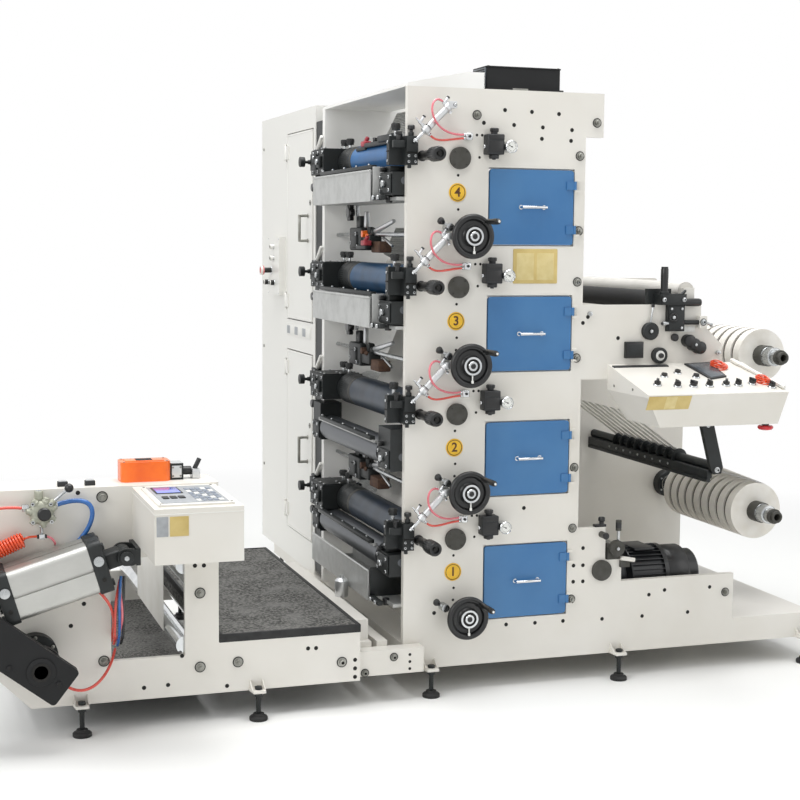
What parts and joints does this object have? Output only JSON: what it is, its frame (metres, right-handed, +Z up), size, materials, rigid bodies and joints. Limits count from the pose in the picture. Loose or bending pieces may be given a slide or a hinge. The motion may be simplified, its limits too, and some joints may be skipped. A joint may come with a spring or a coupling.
{
  "type": "flexographic printing press",
  "caption": "Stack flexographic label press: roll unwinder with walking platform, tower of print stations, electric cabinet, slitter and twin-shaft rewinder.",
  "frame": {"origin": "on the floor under the middle of the press footprint", "axes": "+X along the web from the unwinder to the rewinder, +Y from the operator side to the drive side, +Z up"},
  "size_m": [3.5301, 2.724, 2.286],
  "materials": {
    "ivory_enamel": "satin stove enamel",
    "cabinet_enamel": "satin powder coat",
    "blue_enamel": "semi-gloss enamel",
    "white_sheet": "satin",
    "black_sheet": "matt powder coat",
    "black_oxide_steel": "blackened",
    "dark_casting": "machined and blackened",
    "bright_steel": "turned",
    "stainless_sheet": "folded sheet, ink-stained",
    "engraved_steel": "engraved",
    "hard_chrome": "ground",
    "anodised_aluminium": "satin anodised",
    "hood_sheet": "slotted sheet",
    "print_blue": "photopolymer plate",
    "print_dark": "ink-covered plate",
    "nip_rubber": "ground rubber",
    "black_plastic": "moulded",
    "orange_plastic": "moulded",
    "paper": "uncoated",
    "mat_rubber": "speckled anti-slip",
    "pu_tube": "polyurethane tube"
  },
  "bodies": {
    "root": {"base_frame": "ivory_enamel", "base_deck": "ivory_enamel", "levelling_feet": "black_oxide_steel", "front_panel": "ivory_enamel", "rear_panel": "ivory_enamel", "rewind_back_plate": "ivory_enamel", "cross_bars": "bright_steel", "top_cover": "white_sheet", "blower_box": "black_sheet", "drive_case": "black_sheet", "electric_cabinet": "cabinet_enamel", "switch_strip": "cabinet_enamel", "bearing_caps": "black_oxide_steel", "panel_grips": "black_plastic", "pressure_regulators": "black_plastic", "air_cylinders": "anodised_aluminium", "operator_bearings": "dark_casting", "drive_bearings": "dark_casting", "ink_trays": "stainless_sheet", "anilox_rollers": "engraved_steel", "impression_rollers": "hard_chrome", "web_rollers": "anodised_aluminium", "dryer_hoods": "hood_sheet", "mount_brackets": "black_oxide_steel", "slitter_bar": "black_oxide_steel", "paper_web": "paper", "drive_motor": "dark_casting", "control_desk": "ivory_enamel", "desk_controls": "black_plastic", "unwind_front_plate": "ivory_enamel", "unwind_rear_plate": "ivory_enamel", "unwind_rollers": "anodised_aluminium", "platform": "mat_rubber", "operator_box": "cabinet_enamel", "guide_motor": "orange_plastic", "air_manifold": "anodised_aluminium", "air_tubes": "pu_tube", "air_coil": "pu_tube"},
    "access_door_1": {"access_door_1": "blue_enamel"},
    "handwheel_1": {"handwheel_1": "black_plastic"},
    "plate_roller_1": {"plate_roller_1": "print_dark"},
    "access_door_2": {"access_door_2": "blue_enamel"},
    "handwheel_2": {"handwheel_2": "black_plastic"},
    "plate_roller_2": {"plate_roller_2": "print_blue"},
    "access_door_3": {"access_door_3": "blue_enamel"},
    "handwheel_3": {"handwheel_3": "black_plastic"},
    "plate_roller_3": {"plate_roller_3": "print_blue"},
    "access_door_4": {"access_door_4": "blue_enamel"},
    "handwheel_4": {"handwheel_4": "black_plastic"},
    "plate_roller_4": {"plate_roller_4": "print_blue"},
    "cabinet_door_upper": {"cabinet_door_upper": "cabinet_enamel"},
    "cabinet_door_lower": {"cabinet_door_lower": "cabinet_enamel"},
    "nip_roller": {"nip_roller": "nip_rubber"},
    "upper_rewind": {"upper_rewind_shaft": "bright_steel", "upper_reels": "paper"},
    "lower_rewind": {"lower_rewind_shaft": "bright_steel", "lower_reels": "paper"},
    "lift_arms": {"lift_arms": "black_oxide_steel"},
    "lift_barrel": {"lift_barrel": "anodised_aluminium"},
    "lift_rod": {"lift_rod": "hard_chrome"}
  },
  "joints": [
    {"name": "access_door_1_hinge", "type": "hinge", "parent": "root", "child": "access_door_1", "pos_m": [0.66841, -0.839, 0.403], "axis": [0, 0, 1], "range_deg": [0, 110]},
    {"name": "access_door_2_hinge", "type": "hinge", "parent": "root", "child": "access_door_2", "pos_m": [0.66841, -0.839, 0.863], "axis": [0, 0, 1], "range_deg": [0, 110]},
    {"name": "access_door_3_hinge", "type": "hinge", "parent": "root", "child": "access_door_3", "pos_m": [0.66841, -0.839, 1.323], "axis": [0, 0, 1], "range_deg": [0, 110]},
    {"name": "access_door_4_hinge", "type": "hinge", "parent": "root", "child": "access_door_4", "pos_m": [0.66841, -0.839, 1.783], "axis": [0, 0, 1], "range_deg": [0, 110]},
    {"name": "handwheel_1_turn", "type": "hinge", "parent": "root", "child": "handwheel_1", "pos_m": [0.23941, -0.912, 0.296], "axis": [0, 1, 0], "continuous": true},
    {"name": "handwheel_2_turn", "type": "hinge", "parent": "root", "child": "handwheel_2", "pos_m": [0.23941, -0.912, 0.756], "axis": [0, 1, 0], "continuous": true},
    {"name": "handwheel_3_turn", "type": "hinge", "parent": "root", "child": "handwheel_3", "pos_m": [0.23941, -0.912, 1.216], "axis": [0, 1, 0], "continuous": true},
    {"name": "handwheel_4_turn", "type": "hinge", "parent": "root", "child": "handwheel_4", "pos_m": [0.23941, -0.912, 1.676], "axis": [0, 1, 0], "continuous": true},
    {"name": "plate_roller_1_turn", "type": "hinge", "parent": "root", "child": "plate_roller_1", "pos_m": [0.08041, -0.366, 0.592], "axis": [0, 1, 0], "continuous": true},
    {"name": "plate_roller_2_turn", "type": "hinge", "parent": "root", "child": "plate_roller_2", "pos_m": [0.08041, -0.366, 1.052], "axis": [0, 1, 0], "continuous": true},
    {"name": "plate_roller_3_turn", "type": "hinge", "parent": "root", "child": "plate_roller_3", "pos_m": [0.08041, -0.366, 1.512], "axis": [0, 1, 0], "continuous": true},
    {"name": "plate_roller_4_turn", "type": "hinge", "parent": "root", "child": "plate_roller_4", "pos_m": [0.08041, -0.366, 1.972], "axis": [0, 1, 0], "continuous": true},
    {"name": "cabinet_door_upper_hinge", "type": "hinge", "parent": "root", "child": "cabinet_door_upper", "pos_m": [0.01141, 0.867, 1.7175], "axis": [0, 0, -1], "range_deg": [0, 115]},
    {"name": "cabinet_door_lower_hinge", "type": "hinge", "parent": "root", "child": "cabinet_door_lower", "pos_m": [0.01141, 0.867, 0.745], "axis": [0, 0, -1], "range_deg": [0, 115]},
    {"name": "nip_roller_turn", "type": "hinge", "parent": "root", "child": "nip_roller", "pos_m": [1.04241, -0.332, 1.442], "axis": [0, 1, 0], "continuous": true},
    {"name": "upper_rewind_turn", "type": "hinge", "parent": "root", "child": "upper_rewind", "pos_m": [1.65841, -0.232, 1.205], "axis": [0, 1, 0], "continuous": true},
    {"name": "lower_rewind_turn", "type": "hinge", "parent": "root", "child": "lower_rewind", "pos_m": [1.65441, -0.232, 0.56], "axis": [0, 1, 0], "continuous": true},
    {"name": "lift_arms_pivot", "type": "hinge", "parent": "root", "child": "lift_arms", "pos_m": [-1.29959, -0.232, 0.285], "axis": [0, -1, 0], "range_deg": [0, 32]},
    {"name": "lift_barrel_pivot", "type": "hinge", "parent": "root", "child": "lift_barrel", "pos_m": [-1.01659, -1.01, 0.625], "axis": [0, -1, 0], "range_deg": [0, 11.97]},
    {"name": "lift_rod_slide", "type": "slide", "parent": "lift_barrel", "child": "lift_rod", "axis": [-0.9598, 0, -0.2807], "range_m": [0, 0.1201]}
  ],
  "couplings": [
    {"joint": "plate_roller_2_turn", "follows": "plate_roller_1_turn", "ratio": 1},
    {"joint": "plate_roller_3_turn", "follows": "plate_roller_1_turn", "ratio": 1},
    {"joint": "plate_roller_4_turn", "follows": "plate_roller_1_turn", "ratio": 1},
    {"joint": "lift_barrel_pivot", "follows": "lift_arms_pivot", "ratio": 0.35834},
    {"joint": "lift_rod_slide", "follows": "lift_arms_pivot", "m_per_rad": 0.20963}
  ]
}
